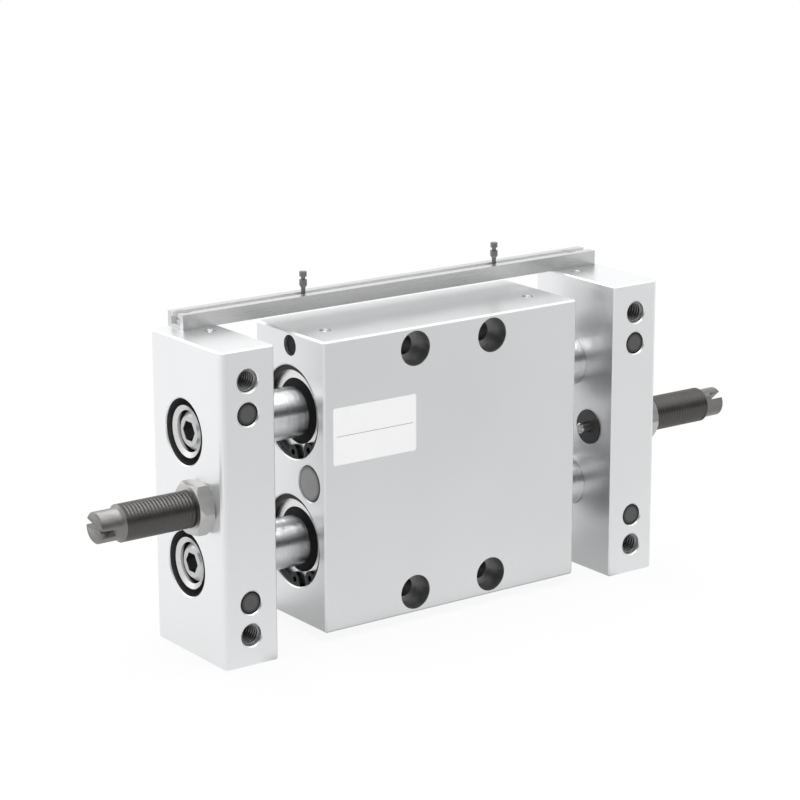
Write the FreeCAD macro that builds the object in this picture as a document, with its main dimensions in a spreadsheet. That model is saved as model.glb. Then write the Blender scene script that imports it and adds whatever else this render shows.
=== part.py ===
import FreeCAD, Part
import os
import Sketcher
from FreeCAD import Placement, Rotation, Vector

# Pneumatic slide table. Two end plates are joined by two chromed rods and by a switch rail, and a housing
# slides on the rods between them. X runs along the rods, Y from front to back and Z up. The origin is at
# the middle of the length and the depth, level with the bottom faces of the plates. Sizes are in millimetres.

SIZES = {
    # Rods, and the walls built up round them: piston, cylinder bore, covers, housing
    "rod_diameter": 13.6,
    "piston_wall": 3.2,
    "cover_step": 2.6,
    "rod_gap": 10.2,
    "front_wall": 2.95,
    "back_wall": 3.6,
    "mount_wall": 3.3,
    "rod_seat_depth": 3.0,
    "rod_chamfer": 0.5,
    "rod_tap_depth": 17.0,
    # Housing against the end plates, and its travel between them
    "housing_step": 2.5,
    "housing_setback": 2.75,
    "housing_proud": 0.5,
    "stroke": 25.0,
    "end_gap": 1.5,
    "rest_offset": 2.9,
    "cylinder_margin": 0.7,
    "plate_web": 4.0,
    "plate_corner": 1.0,
    "plate_chamfer": 0.4,
    "housing_chamfer": 0.5,
    "rim_chamfer": 0.3,
    # Clearances: of a fit on its radius, of a ring in its groove, of a sliding nut, and before a stop
    "fit_clearance": 0.05,
    "ring_play": 0.05,
    "slide_clearance": 0.2,
    "touch_gap": 0.3,
    # Cap screws and cup washers that hold the rods
    "screw_diameter": 6.0,
    "screw_length": 20.0,
    "screw_head_diameter": 10.0,
    "screw_head_height": 6.0,
    "screw_head_sink": 1.6,
    "screw_head_chamfer": 1.0,
    "screw_socket_flats": 5.0,
    "screw_socket_depth": 3.0,
    "washer_diameter": 13.8,
    "washer_floor": 1.4,
    "washer_sink": 0.9,
    "washer_cone": 0.6,
    "washer_play": 0.5,
    "counterbore_diameter": 17.5,
    # Tapped holes and plugged air ports on the front of each plate
    "plate_hole_inset": 8.25,
    "plate_hole_diameter": 6.0,
    "plate_hole_depth": 16.0,
    "plug_spacing": 8.75,
    "plug_diameter": 6.0,
    "plug_length": 6.0,
    "plug_sink": 0.3,
    "plug_chamfer": 0.4,
    # Screw-in dampers
    "damper_axis_depth": 10.0,
    "damper_diameter": 9.8,
    "damper_length": 48.1,
    "damper_proud": 0.5,
    "damper_tail_diameter": 8.2,
    "damper_tail_length": 6.0,
    "damper_slot_width": 2.0,
    "damper_slot_depth": 4.2,
    "left_slot_angle": 104.0,
    "right_slot_angle": 48.0,
    "damper_chamfer": 0.4,
    "damper_shoulder": 0.9,
    "damper_stroke": 6.0,
    "plunger_diameter": 3.0,
    "plunger_length": 20.0,
    "plunger_chamfer": 0.4,
    "nut_flats": 13.0,
    "nut_thickness": 4.5,
    "nut_chamfer": 1.0,
    "stop_diameter": 9.6,
    "stop_length": 6.0,
    # What closes the ends of the housing's bores
    "cover_lip": 0.7,
    "cover_back": 2.1,
    "ring_inset": 1.0,
    "ring_thickness": 1.2,
    "ring_groove_depth": 0.65,
    "ring_width": 2.0,
    "ring_gap": 3.4,
    "ring_gap_angle": 16.0,
    "ring_lug_diameter": 4.0,
    "ring_lug_hole": 1.6,
    "seal_width": 2.0,
    "seal_length": 3.9,
    "seal_proud": 1.1,
    "seal_lip": 0.3,
    "bush_wall": 1.5,
    "bush_length": 14.0,
    "oring_section": 1.8,
    # Pistons
    "piston_length": 11.0,
    "piston_core": 1.0,
    "piston_seal_width": 3.2,
    "clip_thickness": 1.0,
    "clip_groove_depth": 0.5,
    "clip_width": 2.0,
    "clip_gap": 4.0,
    # Mounting holes, passage balls and magnets of the housing, passage balls of the plates
    "mount_pitch_x": 25.5,
    "mount_hole_diameter": 5.5,
    "mount_counterbore": 9.5,
    "mount_counterbore_depth": 5.6,
    "mount_edge": 1.0,
    "ball_diameter": 3.0,
    "plate_ball_inset": 11.0,
    "plate_ball_depth": 22.2,
    "housing_ball_inset": 8.3,
    "housing_ball_depth": 11.2,
    "magnet_diameter": 5.5,
    "magnet_length": 5.0,
    "magnet_sink": 0.9,
    "magnet_wall": 0.95,
    # Switch rail, its screws, and the clamp screws in its slot
    "rail_left_inset": 5.6,
    "rail_right_inset": 0.9,
    "rail_width": 7.5,
    "rail_height": 4.0,
    "rail_floor": 0.8,
    "rail_mouth": 2.6,
    "rail_slot_width": 4.2,
    "rail_slot_height": 2.1,
    "rail_screw_diameter": 2.5,
    "rail_screw_length": 6.0,
    "rail_head_height": 1.3,
    "clamp_nut_length": 6.0,
    "clamp_stem_diameter": 1.2,
    "clamp_height": 5.8,
    "clamp_head_diameter": 2.0,
    "clamp_head_height": 1.3,
    "clamp_neck": 0.9,
    "clamp_collar_diameter": 2.1,
    "clamp_collar_height": 2.1,
    "clamp_collar_cone": 0.6,
    "left_clamp_place": -26.7,
    "right_clamp_place": 37.5,
}

# Diameters and lengths that follow from the sheet
CYLINDER_DIAMETER = "(dims.rod_diameter + 2 * dims.piston_wall)"
COVER_DIAMETER = f"({CYLINDER_DIAMETER} + 2 * dims.cover_step)"
SEAL_DIAMETER = "(dims.rod_diameter + 2 * dims.seal_width)"
BUSH_DIAMETER = "(dims.rod_diameter + 2 * dims.bush_wall)"
COVER_LENGTH = "(dims.seal_length + dims.bush_length + dims.cover_back)"
COVER_FACE = "(dims.ring_inset + dims.ring_play + dims.ring_thickness)"
COVER_SEAT = f"({COVER_FACE} + {COVER_LENGTH})"
PISTON_STACK = "(dims.piston_length + 2 * (dims.clip_thickness + dims.ring_play))"
PISTON_SEAL_DEPTH = "(dims.piston_wall - dims.piston_core - 2 * dims.fit_clearance)"
COUNTERBORE_DEPTH = "(dims.screw_head_sink + dims.screw_head_height + dims.washer_floor)"
RAIL_HEAD_DIAMETER = "(dims.rail_slot_width - 2 * dims.slide_clearance)"

# Blocks, from the inside out: pitches, housing, plates
ROD_PITCH = f"({COVER_DIAMETER} + dims.rod_gap)"
MOUNT_PITCH_Z = f"({ROD_PITCH} + {CYLINDER_DIAMETER} + dims.mount_hole_diameter + 2 * dims.mount_wall)"
HOUSING_LENGTH = f"(2 * {COVER_SEAT} + {PISTON_STACK} + dims.stroke + 2 * dims.cylinder_margin)"
HOUSING_DEPTH = f"(dims.front_wall + {COVER_DIAMETER} + dims.back_wall)"
HOUSING_HEIGHT = f"({MOUNT_PITCH_Z} + dims.mount_counterbore + 2 * dims.mount_edge)"
PLATE_THICKNESS = f"({COUNTERBORE_DEPTH} + dims.plate_web + dims.rod_seat_depth)"
PLATE_DEPTH = f"(dims.housing_setback + {HOUSING_DEPTH} - dims.housing_proud)"
PLATE_HEIGHT = f"({HOUSING_HEIGHT} + 2 * dims.housing_step)"

# Places that several pieces share
FRONT = f"(-(dims.housing_setback + {HOUSING_DEPTH}) / 2)"
BACK = f"((dims.housing_setback + {HOUSING_DEPTH}) / 2)"
PLATE_BACK = f"({FRONT} + {PLATE_DEPTH})"
MID_HEIGHT = f"({PLATE_HEIGHT} / 2)"
HOUSING_END = f"(dims.rest_offset + {HOUSING_LENGTH} / 2)"
HOUSING_FRONT = f"({FRONT} + dims.housing_setback)"
HOUSING_TOP = f"({MID_HEIGHT} + {HOUSING_HEIGHT} / 2)"
HOUSING_BOTTOM = f"({MID_HEIGHT} - {HOUSING_HEIGHT} / 2)"
INNER = f"(({HOUSING_LENGTH} + dims.stroke) / 2 + dims.end_gap)"
OUTER = f"({INNER} + {PLATE_THICKNESS})"
PLATE_MIDDLE = f"({INNER} + {PLATE_THICKNESS} / 2)"
ROD_Y = f"({HOUSING_FRONT} + dims.front_wall + {COVER_DIAMETER} / 2)"
ROD_HEIGHTS = {"upper": f"({MID_HEIGHT} + {ROD_PITCH} / 2)", "lower": f"({MID_HEIGHT} - {ROD_PITCH} / 2)"}
ROD_END = f"({INNER} + dims.rod_seat_depth)"
PLUG_INSET = "(dims.plate_hole_inset + dims.plug_spacing)"
DAMPER_Y = f"({FRONT} + dims.damper_axis_depth)"
DAMPER_FRONT = f"({INNER} - dims.damper_proud)"
DAMPER_RATIO = "(dims.damper_stroke / dims.stroke)"
PLUNGER_REST = "(dims.end_gap - dims.damper_proud - dims.touch_gap)"
MAGNET_HEIGHT = f"({HOUSING_TOP} - dims.magnet_wall - dims.fit_clearance - dims.magnet_diameter / 2)"
RAIL_AXIS = f"({PLATE_BACK} - dims.rail_width / 2)"
RAIL_LENGTH = f"(2 * {OUTER} - dims.rail_left_inset - dims.rail_right_inset)"
RAIL_SHIFT = "((dims.rail_left_inset - dims.rail_right_inset) / 2)"

# Turns that carry a piece's own X axis to another direction
ALONG_X = Rotation()
AGAINST_X = Rotation(Vector(0, 0, 1), 180)
ALONG_Y = Rotation(Vector(0, 0, 1), 90)
ALONG_Z = Rotation(Vector(0, 1, 0), -90)

doc = FreeCAD.newDocument("slide_table")
sheet = doc.addObject("Spreadsheet::Sheet", "dims")
for row, (alias, size) in enumerate(SIZES.items(), start=1):
    sheet.set(f"A{row}", alias)
    sheet.set(f"B{row}", str(size))
    sheet.setAlias(f"B{row}", alias)
doc.recompute()


def value(expression):
    return float(sheet.evalExpression(expression))


def radius(diameter, extra="0"):
    return f"({diameter} / 2 + {extra})"


def bored(diameter):
    # The hole that a piece of this diameter fits in
    return f"({diameter} + 2 * dims.fit_clearance)"


def put(piece, x="0", y="0", z="0", turn=ALONG_X):
    piece.Placement = Placement(Vector(), turn)
    for axis, expression in zip("xyz", (x, y, z)):
        piece.setExpression(f"Placement.Base.{axis}", expression)
    return piece


def new_body(name):
    return doc.addObject("PartDesign::Body", name)


def sketch_on(body, plane, offset="0", turn=None):
    planes = {feature.Role: feature for feature in body.Origin.OriginFeatures}
    sketch = body.newObject("Sketcher::SketchObject", "Sketch")
    sketch.AttachmentSupport = (planes[plane], [""])
    sketch.MapMode = "FlatFace"
    sketch.setExpression("AttachmentOffset.Base.z", offset)
    if turn is not None:
        sketch.setExpression("AttachmentOffset.Rotation.Angle", turn)
    return sketch


def pin_point(sketch, geometry, position, x, y):
    for kind, expression in (("DistanceX", x), ("DistanceY", y)):
        rule = Sketcher.Constraint(kind, -1, 1, geometry, position, value(expression))
        sketch.setExpression(f"Constraints[{sketch.addConstraint(rule)}]", expression)


def outline(sketch, corners):
    points = [Vector(value(x), value(y), 0) for x, y in corners]
    following = points[1:] + points[:1]
    sketch.addGeometry([Part.LineSegment(start, end) for start, end in zip(points, following)])
    for line, (x, y) in enumerate(corners):
        sketch.addConstraint(Sketcher.Constraint("Coincident", line, 2, (line + 1) % len(corners), 1))
        pin_point(sketch, line, 1, x, y)
    return sketch


def rectangle(sketch, left, bottom, right, top):
    return outline(sketch, [(left, bottom), (right, bottom), (right, top), (left, top)])


def circles(sketch, centres, diameter):
    for x, y in centres:
        size = value(diameter)
        ring = sketch.addGeometry(Part.Circle(Vector(value(x), value(y), 0), Vector(0, 0, 1), size / 2))
        rule = sketch.addConstraint(Sketcher.Constraint("Diameter", ring, size))
        sketch.setExpression(f"Constraints[{rule}]", diameter)
        pin_point(sketch, ring, 3, x, y)
    return sketch


def pad(body, sketch, length):
    feature = body.newObject("PartDesign::Pad", "Pad")
    feature.Profile = sketch
    feature.setExpression("Length", length)
    doc.recompute()
    return feature


def pocket(body, sketch, depth=None, reverse=False):
    before = body.Shape.Volume
    feature = body.newObject("PartDesign::Pocket", "Pocket")
    feature.Profile = sketch
    feature.Reversed = reverse
    if depth is None:
        feature.Type = "ThroughAll"
    else:
        feature.setExpression("Length", depth)
    doc.recompute()
    if not body.Shape.Volume < before:
        raise RuntimeError(f"{body.Label}: a pocket cut nothing")
    return feature


def chamfer(body, edges, size):
    base = body.Tip
    feature = body.newObject("PartDesign::Chamfer", "Chamfer")
    feature.Base = (base, edges)
    feature.setExpression("Size", size)
    doc.recompute()
    return feature


def block_edges(body):
    return [f"Edge{index}" for index in range(1, len(body.Shape.Edges) + 1)]


def rim_edges(body, axis, place):
    # Full circles that lie in the plane where the given coordinate has the given value
    names = []
    for index, edge in enumerate(body.Tip.Shape.Edges, start=1):
        box = edge.BoundBox
        low, high = getattr(box, f"{axis}Min"), getattr(box, f"{axis}Max")
        flat = abs(low - place) < 1e-4 and abs(high - place) < 1e-4
        if flat and edge.isClosed() and edge.Curve.TypeId == "Part::GeomCircle":
            names.append(f"Edge{index}")
    return names


def turned(name, profile, x, y, z, turn=ALONG_X):
    # A lathe piece: its profile is given along and away from its own X axis
    body = new_body(name)
    feature = body.newObject("PartDesign::Revolution", "Turned")
    sketch = outline(sketch_on(body, "XY_Plane"), profile)
    feature.Profile = sketch
    feature.ReferenceAxis = (sketch, ["H_Axis"])
    feature.Angle = 360
    body.Tip = feature
    return put(body, x, y, z, turn)


def ring_profile(start, end, inner, outer):
    return [(start, inner), (start, outer), (end, outer), (end, inner)]


def combine(kind, name, base, tool):
    piece = doc.addObject(kind, name)
    piece.Base = base
    piece.Tool = tool
    return piece


def group(name, pieces):
    made = doc.addObject("Part::Compound", name)
    made.Links = list(pieces)
    return made


def mirrored(name, source, plane="0"):
    piece = doc.addObject("Part::Mirroring", name)
    piece.Source = source
    piece.Normal = Vector(1, 0, 0)
    piece.setExpression("Base.x", plane)
    return piece


def at_both_rods(name, make):
    return group(name, [make(f"{rod}_{name}", height) for rod, height in ROD_HEIGHTS.items()])


def end_plate():
    plate = new_body("right_end_plate")
    corner = "dims.plate_corner"
    footprint = [
        (INNER, FRONT),
        (f"{OUTER} - {corner}", FRONT),
        (OUTER, f"{FRONT} + {corner}"),
        (OUTER, f"{PLATE_BACK} - {corner}"),
        (f"{OUTER} - {corner}", PLATE_BACK),
        (INNER, PLATE_BACK),
    ]
    pad(plate, outline(sketch_on(plate, "XY_Plane"), footprint), PLATE_HEIGHT)
    chamfer(plate, block_edges(plate), "dims.plate_chamfer")
    rods = [(ROD_Y, height) for height in ROD_HEIGHTS.values()]
    seats = circles(sketch_on(plate, "YZ_Plane", INNER), rods, bored("dims.rod_diameter"))
    pocket(plate, seats, "dims.rod_seat_depth", reverse=True)
    outer_cuts = (
        (rods, "dims.counterbore_diameter", COUNTERBORE_DEPTH),
        (rods, "dims.screw_diameter + 2 * dims.touch_gap", None),
        ([(DAMPER_Y, MID_HEIGHT)], bored("dims.damper_diameter"), None),
    )
    for centres, diameter, depth in outer_cuts:
        pocket(plate, circles(sketch_on(plate, "YZ_Plane", OUTER), centres, diameter), depth)
    front_cuts = (
        ("dims.plate_hole_inset", "dims.plate_hole_diameter", "dims.plate_hole_depth"),
        (PLUG_INSET, bored("dims.plug_diameter"), "dims.plug_sink + dims.plug_length"),
    )
    for inset, diameter, depth in front_cuts:
        centres = [(PLATE_MIDDLE, inset), (PLATE_MIDDLE, f"{PLATE_HEIGHT} - {inset}")]
        pocket(plate, circles(sketch_on(plate, "XZ_Plane", f"-{FRONT}"), centres, diameter), depth)
    ball = (f"{OUTER} - dims.plate_ball_inset", f"{FRONT} + dims.plate_ball_depth")
    top_cuts = (
        (ball, "dims.ball_diameter", "dims.ball_diameter"),
        ((PLATE_MIDDLE, RAIL_AXIS), "dims.rail_screw_diameter", "dims.rail_screw_length"),
    )
    for centre, diameter, depth in top_cuts:
        pocket(plate, circles(sketch_on(plate, "XY_Plane", PLATE_HEIGHT), [centre], bored(diameter)), depth)
    rims = rim_edges(plate, "X", value(OUTER)) + rim_edges(plate, "Y", value(FRONT))
    chamfer(plate, rims, "dims.rim_chamfer")
    return plate


def rod(name, height):
    groove = "(dims.piston_length / 2 - dims.ring_play)"
    groove_end = "(dims.piston_length / 2 + dims.clip_thickness + dims.ring_play)"
    outside, inside = radius("dims.rod_diameter"), radius("dims.rod_diameter", "-dims.clip_groove_depth")
    tap = radius("dims.screw_diameter", "dims.fit_clearance")
    half = [
        (groove, outside),
        (groove, inside),
        (groove_end, inside),
        (groove_end, outside),
        (f"{ROD_END} - dims.rod_chamfer", outside),
        (ROD_END, f"{outside} - dims.rod_chamfer"),
        (ROD_END, tap),
        (f"{ROD_END} - dims.rod_tap_depth", tap),
        (f"{ROD_END} - dims.rod_tap_depth", "0"),
    ]
    other_half = [(f"-({x})", r) for x, r in reversed(half)]
    return turned(name, half + other_half, "0", ROD_Y, height)


def piston(name, height):
    half_length, half_seal = "(dims.piston_length / 2)", "(dims.piston_seal_width / 2 + dims.ring_play)"
    outside = radius(CYLINDER_DIAMETER, "-dims.fit_clearance")
    floor = f"({outside} - {PISTON_SEAL_DEPTH} - dims.ring_play)"
    inside = radius("dims.rod_diameter", "dims.fit_clearance")
    half = [(half_seal, floor), (half_seal, outside), (half_length, outside), (half_length, inside)]
    other_half = [(f"-{x}", r) for x, r in reversed(half)]
    return turned(name, half + other_half, "0", ROD_Y, height)


def piston_seal(name, height):
    outside = radius(CYLINDER_DIAMETER, "-dims.fit_clearance")
    half_width = "(dims.piston_seal_width / 2)"
    profile = ring_profile(f"-{half_width}", half_width, f"({outside} - {PISTON_SEAL_DEPTH})", outside)
    return turned(name, profile, "0", ROD_Y, height)


def piston_clip(name, start, height):
    # A snap ring with its gap downwards, in a groove of the rod
    clip = put(new_body(name), start, ROD_Y, height)
    inside = "dims.rod_diameter - 2 * (dims.clip_groove_depth - dims.fit_clearance)"
    outside = "dims.rod_diameter + 2 * dims.clip_width"
    centre, half_gap = [("0", "0")], "dims.clip_gap / 2"
    band = circles(circles(sketch_on(clip, "YZ_Plane"), centre, inside), centre, outside)
    pad(clip, band, "dims.clip_thickness")
    gap = rectangle(sketch_on(clip, "YZ_Plane"), f"-{half_gap}", "-dims.rod_diameter", half_gap, "0")
    pocket(clip, gap, reverse=True)
    return clip


def piston_clips(name):
    starts = {"right": "dims.piston_length / 2", "left": "-dims.piston_length / 2 - dims.clip_thickness"}
    clips = [
        piston_clip(f"{place}_{side}_clip", start, height)
        for place, height in ROD_HEIGHTS.items()
        for side, start in starts.items()
    ]
    return group(name, clips)


def rod_screw(name, height):
    shank, head = radius("dims.screw_diameter"), radius("dims.screw_head_diameter")
    top = "dims.screw_head_height"
    profile = [
        ("-dims.screw_length", "0"),
        ("-dims.screw_length", f"{shank} - dims.screw_head_chamfer"),
        ("-dims.screw_length + dims.screw_head_chamfer", shank),
        ("0", shank),
        ("0", head),
        (f"{top} - dims.screw_head_chamfer", head),
        (top, f"{head} - dims.screw_head_chamfer"),
        (top, "0"),
    ]
    screw = turned(name, profile, f"{OUTER} - dims.screw_head_sink - {top}", ROD_Y, height)
    doc.recompute()
    socket = outline(sketch_on(screw, "YZ_Plane", top), hexagon("dims.screw_socket_flats"))
    pocket(screw, socket, "dims.screw_socket_depth")
    return screw


def hexagon(flats):
    # Corners of a hexagon with level top and bottom sides
    near, far, half = f"{flats} / (2 * sqrt(3))", f"{flats} / sqrt(3)", f"{flats} / 2"
    right = [(near, f"-{half}"), (far, "0"), (near, half)]
    return right + [(f"-{x}", z) for x, z in reversed(right)]


def rod_washer(name, height):
    # A cup with a coned rim, which holds the screw's head clear of the counterbore
    hole = radius("dims.screw_diameter", "dims.touch_gap")
    cup = radius("dims.screw_head_diameter", "dims.washer_play")
    rim, outside = f"({COUNTERBORE_DEPTH} - dims.washer_sink)", radius("dims.washer_diameter")
    profile = [
        ("0", hole),
        ("0", outside),
        (rim, outside),
        (f"{rim} - dims.washer_cone", cup),
        ("dims.washer_floor", cup),
        ("dims.washer_floor", hole),
    ]
    return turned(name, profile, f"{OUTER} - {COUNTERBORE_DEPTH}", ROD_Y, height)


def port_plugs(name):
    outside, chamfered = radius("dims.plug_diameter"), radius("dims.plug_diameter", "-dims.plug_chamfer")
    profile = [
        ("0", "0"),
        ("0", chamfered),
        ("dims.plug_chamfer", outside),
        ("dims.plug_length", outside),
        ("dims.plug_length", "0"),
    ]
    heights = {"upper": f"{PLATE_HEIGHT} - {PLUG_INSET}", "lower": PLUG_INSET}
    plugs = [
        turned(f"{place}_{name}", profile, PLATE_MIDDLE, f"{FRONT} + dims.plug_sink", height, ALONG_Y)
        for place, height in heights.items()
    ]
    return group(name, plugs)


def damper_body(name, slot_angle):
    bore, outside = radius("dims.plunger_diameter", "dims.fit_clearance"), radius("dims.damper_diameter")
    tail, edge, end = radius("dims.damper_tail_diameter"), "dims.damper_chamfer", "dims.damper_length"
    shoulder = "(dims.damper_length - dims.damper_tail_length)"
    profile = [
        ("0", bore),
        ("0", f"{outside} - {edge}"),
        (edge, outside),
        (f"{shoulder} - dims.damper_shoulder", outside),
        (shoulder, tail),
        (f"{end} - {edge}", tail),
        (end, f"{tail} - {edge}"),
        (end, "0"),
        ("dims.plunger_length", "0"),
        ("dims.plunger_length", bore),
    ]
    damper = turned(name, profile, DAMPER_FRONT, DAMPER_Y, MID_HEIGHT)
    doc.recompute()
    slot = rectangle(
        sketch_on(damper, "YZ_Plane", end, turn=slot_angle),
        "-dims.damper_slot_width / 2",
        "-dims.damper_diameter",
        "dims.damper_slot_width / 2",
        "dims.damper_diameter",
    )
    pocket(damper, slot, "dims.damper_slot_depth")
    return damper


def lock_nut():
    blank = put(new_body("nut_blank"), OUTER, DAMPER_Y, MID_HEIGHT)
    pad(blank, outline(sketch_on(blank, "YZ_Plane"), hexagon("dims.nut_flats")), "dims.nut_thickness")
    hole = circles(sketch_on(blank, "YZ_Plane"), [("0", "0")], bored("dims.damper_diameter"))
    pocket(blank, hole, reverse=True)
    corner, flat = "(dims.nut_flats / sqrt(3))", "(dims.nut_flats / 2)"
    profile = [
        ("0", "0"),
        ("0", flat),
        ("dims.nut_chamfer", corner),
        ("dims.nut_thickness - dims.nut_chamfer", corner),
        ("dims.nut_thickness", flat),
        ("dims.nut_thickness", "0"),
    ]
    cones = turned("nut_cones", profile, OUTER, DAMPER_Y, MID_HEIGHT)
    return combine("Part::Common", "right_lock_nut", blank, cones)


def plunger(name, tip, turn):
    outside = radius("dims.plunger_diameter")
    profile = [
        ("0", "0"),
        ("0", f"{outside} - dims.plunger_chamfer"),
        ("dims.plunger_chamfer", outside),
        ("dims.plunger_length", outside),
        ("dims.plunger_length", "0"),
    ]
    return turned(name, profile, tip, DAMPER_Y, MID_HEIGHT, turn)


def housing():
    block = put(new_body("housing"), "dims.rest_offset")
    half = f"{HOUSING_LENGTH} / 2"
    base = sketch_on(block, "YZ_Plane", f"-{half}")
    pad(block, rectangle(base, HOUSING_FRONT, HOUSING_BOTTOM, BACK, HOUSING_TOP), HOUSING_LENGTH)
    chamfer(block, block_edges(block), "dims.housing_chamfer")
    rods = [(ROD_Y, height) for height in ROD_HEIGHTS.values()]
    pocket(block, circles(sketch_on(block, "YZ_Plane", half), rods, CYLINDER_DIAMETER))
    groove = f"{COVER_DIAMETER} + 2 * dims.ring_groove_depth"
    end_cuts = (
        ("0", rods, COVER_DIAMETER, COVER_SEAT),
        ("dims.ring_inset", rods, groove, "dims.ring_thickness + 2 * dims.ring_play"),
        ("0", [(DAMPER_Y, MID_HEIGHT)], bored("dims.stop_diameter"), "dims.stop_length"),
    )
    for side in (1, -1):
        for inset, centres, diameter, depth in end_cuts:
            plane = sketch_on(block, "YZ_Plane", f"{side} * ({half} - {inset})")
            pocket(block, circles(plane, centres, diameter), depth, reverse=side < 0)
    ends = rim_edges(block, "X", value(half)) + rim_edges(block, "X", -value(half))
    chamfer(block, ends, "dims.rim_chamfer")
    for side in (1, -1):
        end = sketch_on(block, "YZ_Plane", f"{side} * {half}")
        magnet_bore = circles(end, [(ROD_Y, MAGNET_HEIGHT)], bored("dims.magnet_diameter"))
        pocket(block, magnet_bore, "dims.magnet_sink + dims.magnet_length", reverse=side < 0)
        ball = (f"{side} * ({half} - dims.housing_ball_inset)", f"{HOUSING_FRONT} + dims.housing_ball_depth")
        seat = circles(sketch_on(block, "XY_Plane", HOUSING_TOP), [ball], bored("dims.ball_diameter"))
        pocket(block, seat, "dims.ball_diameter")
    heights = [f"{MID_HEIGHT} + {MOUNT_PITCH_Z} / 2", f"{MID_HEIGHT} - {MOUNT_PITCH_Z} / 2"]
    corners = [(f"{sign} dims.mount_pitch_x / 2", height) for sign in "+-" for height in heights]
    mount_cuts = (
        ("dims.mount_hole_diameter", None),
        ("dims.mount_counterbore", "dims.mount_counterbore_depth"),
    )
    for diameter, depth in mount_cuts:
        pocket(block, circles(sketch_on(block, "XZ_Plane", f"-{HOUSING_FRONT}"), corners, diameter), depth)
    return block


def rod_cover(name, height):
    # Measured inwards from the end of the housing: seal pocket, bushing bore and a lip that keeps the bushing
    outside = radius(COVER_DIAMETER, "-dims.fit_clearance")
    lip = radius("dims.rod_diameter", "dims.cover_lip")
    seal, bush = radius(SEAL_DIAMETER, "dims.fit_clearance"), radius(BUSH_DIAMETER, "dims.fit_clearance")
    pocket_end = f"({COVER_FACE} + dims.seal_length)"
    bush_end = f"({pocket_end} + dims.bush_length)"
    groove_start = f"({COVER_FACE} + {COVER_LENGTH} / 2 - dims.oring_section / 2 - dims.ring_play)"
    groove_end = f"({groove_start} + dims.oring_section + 2 * dims.ring_play)"
    groove_floor = f"({outside} - dims.oring_section)"
    profile = [
        (COVER_FACE, seal),
        (COVER_FACE, outside),
        (groove_start, outside),
        (groove_start, groove_floor),
        (groove_end, groove_floor),
        (groove_end, outside),
        (COVER_SEAT, outside),
        (COVER_SEAT, lip),
        (bush_end, lip),
        (bush_end, bush),
        (pocket_end, bush),
        (pocket_end, seal),
    ]
    return turned(name, profile, HOUSING_END, ROD_Y, height, AGAINST_X)


def bushing(name, height):
    start = f"({COVER_FACE} + dims.seal_length)"
    inside = radius("dims.rod_diameter", "dims.fit_clearance")
    profile = ring_profile(start, f"{start} + dims.bush_length", inside, radius(BUSH_DIAMETER))
    return turned(name, profile, HOUSING_END, ROD_Y, height, AGAINST_X)


def rod_seal(name, height):
    # A wiper whose cone stands out of the cover and ends in a lip on the rod
    inside, outside = radius("dims.rod_diameter", "dims.fit_clearance"), radius(SEAL_DIAMETER)
    tip = f"({COVER_FACE} - dims.seal_proud)"
    end = f"({COVER_FACE} + dims.seal_length)"
    profile = [
        (tip, inside),
        (tip, f"{inside} + dims.seal_lip"),
        (COVER_FACE, outside),
        (end, outside),
        (end, inside),
    ]
    return turned(name, profile, HOUSING_END, ROD_Y, height, AGAINST_X)


def cover_oring(name, height):
    outside = radius(COVER_DIAMETER, "-dims.fit_clearance")
    start = f"({COVER_FACE} + {COVER_LENGTH} / 2 - dims.oring_section / 2)"
    profile = ring_profile(start, f"{start} + dims.oring_section", f"{outside} - dims.oring_section", outside)
    return turned(name, profile, HOUSING_END, ROD_Y, height, AGAINST_X)


def retaining_ring(name, height):
    ring = put(new_body(name), f"{HOUSING_END} - {COVER_FACE}", ROD_Y, height)
    outside = f"({COVER_DIAMETER} / 2 + dims.ring_groove_depth - dims.ring_play)"
    inside = f"({outside} - dims.ring_width)"
    centre, half_gap, turn = [("0", "0")], "dims.ring_gap / 2", "-dims.ring_gap_angle"
    band = circles(circles(sketch_on(ring, "YZ_Plane"), centre, f"2 * {outside}"), centre, f"2 * {inside}")
    pad(ring, band, "dims.ring_thickness")
    lug_x = "((dims.ring_gap + dims.ring_lug_diameter) / 2)"
    lug_z = f"-sqrt(({outside} - dims.ring_lug_diameter / 2)^2 - {lug_x}^2)"
    lugs = [(lug_x, lug_z), (f"-{lug_x}", lug_z)]
    ears = circles(sketch_on(ring, "YZ_Plane", turn=turn), lugs, "dims.ring_lug_diameter")
    pad(ring, ears, "dims.ring_thickness")
    gap = sketch_on(ring, "YZ_Plane", turn=turn)
    pocket(ring, rectangle(gap, f"-{half_gap}", f"-2 * {outside}", half_gap, "0"), reverse=True)
    holes = circles(sketch_on(ring, "YZ_Plane", turn=turn), lugs, "dims.ring_lug_hole")
    pocket(ring, holes, reverse=True)
    return ring


def stop_disc():
    outside = radius("dims.stop_diameter")
    profile = [
        ("0", "0"),
        ("0", f"{outside} - dims.rim_chamfer"),
        ("dims.rim_chamfer", outside),
        ("dims.stop_length", outside),
        ("dims.stop_length", "0"),
    ]
    return turned("right_stop_disc", profile, HOUSING_END, DAMPER_Y, MID_HEIGHT, AGAINST_X)


def passage_balls(name, places, y, top):
    balls = []
    for index, x in enumerate(places):
        ball = put(doc.addObject("Part::Sphere", f"{name}_{index}"), x, y, f"{top} - dims.ball_diameter / 2")
        ball.setExpression("Radius", "dims.ball_diameter / 2")
        balls.append(ball)
    return group(name, balls)


def sensor_magnet():
    outside, start = radius("dims.magnet_diameter"), "dims.magnet_sink"
    profile = [
        (start, "0"),
        (start, outside),
        (f"{start} + dims.magnet_length", outside),
        (f"{start} + dims.magnet_length", "0"),
    ]
    return turned("right_sensor_magnet", profile, HOUSING_END, ROD_Y, MAGNET_HEIGHT, AGAINST_X)


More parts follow.
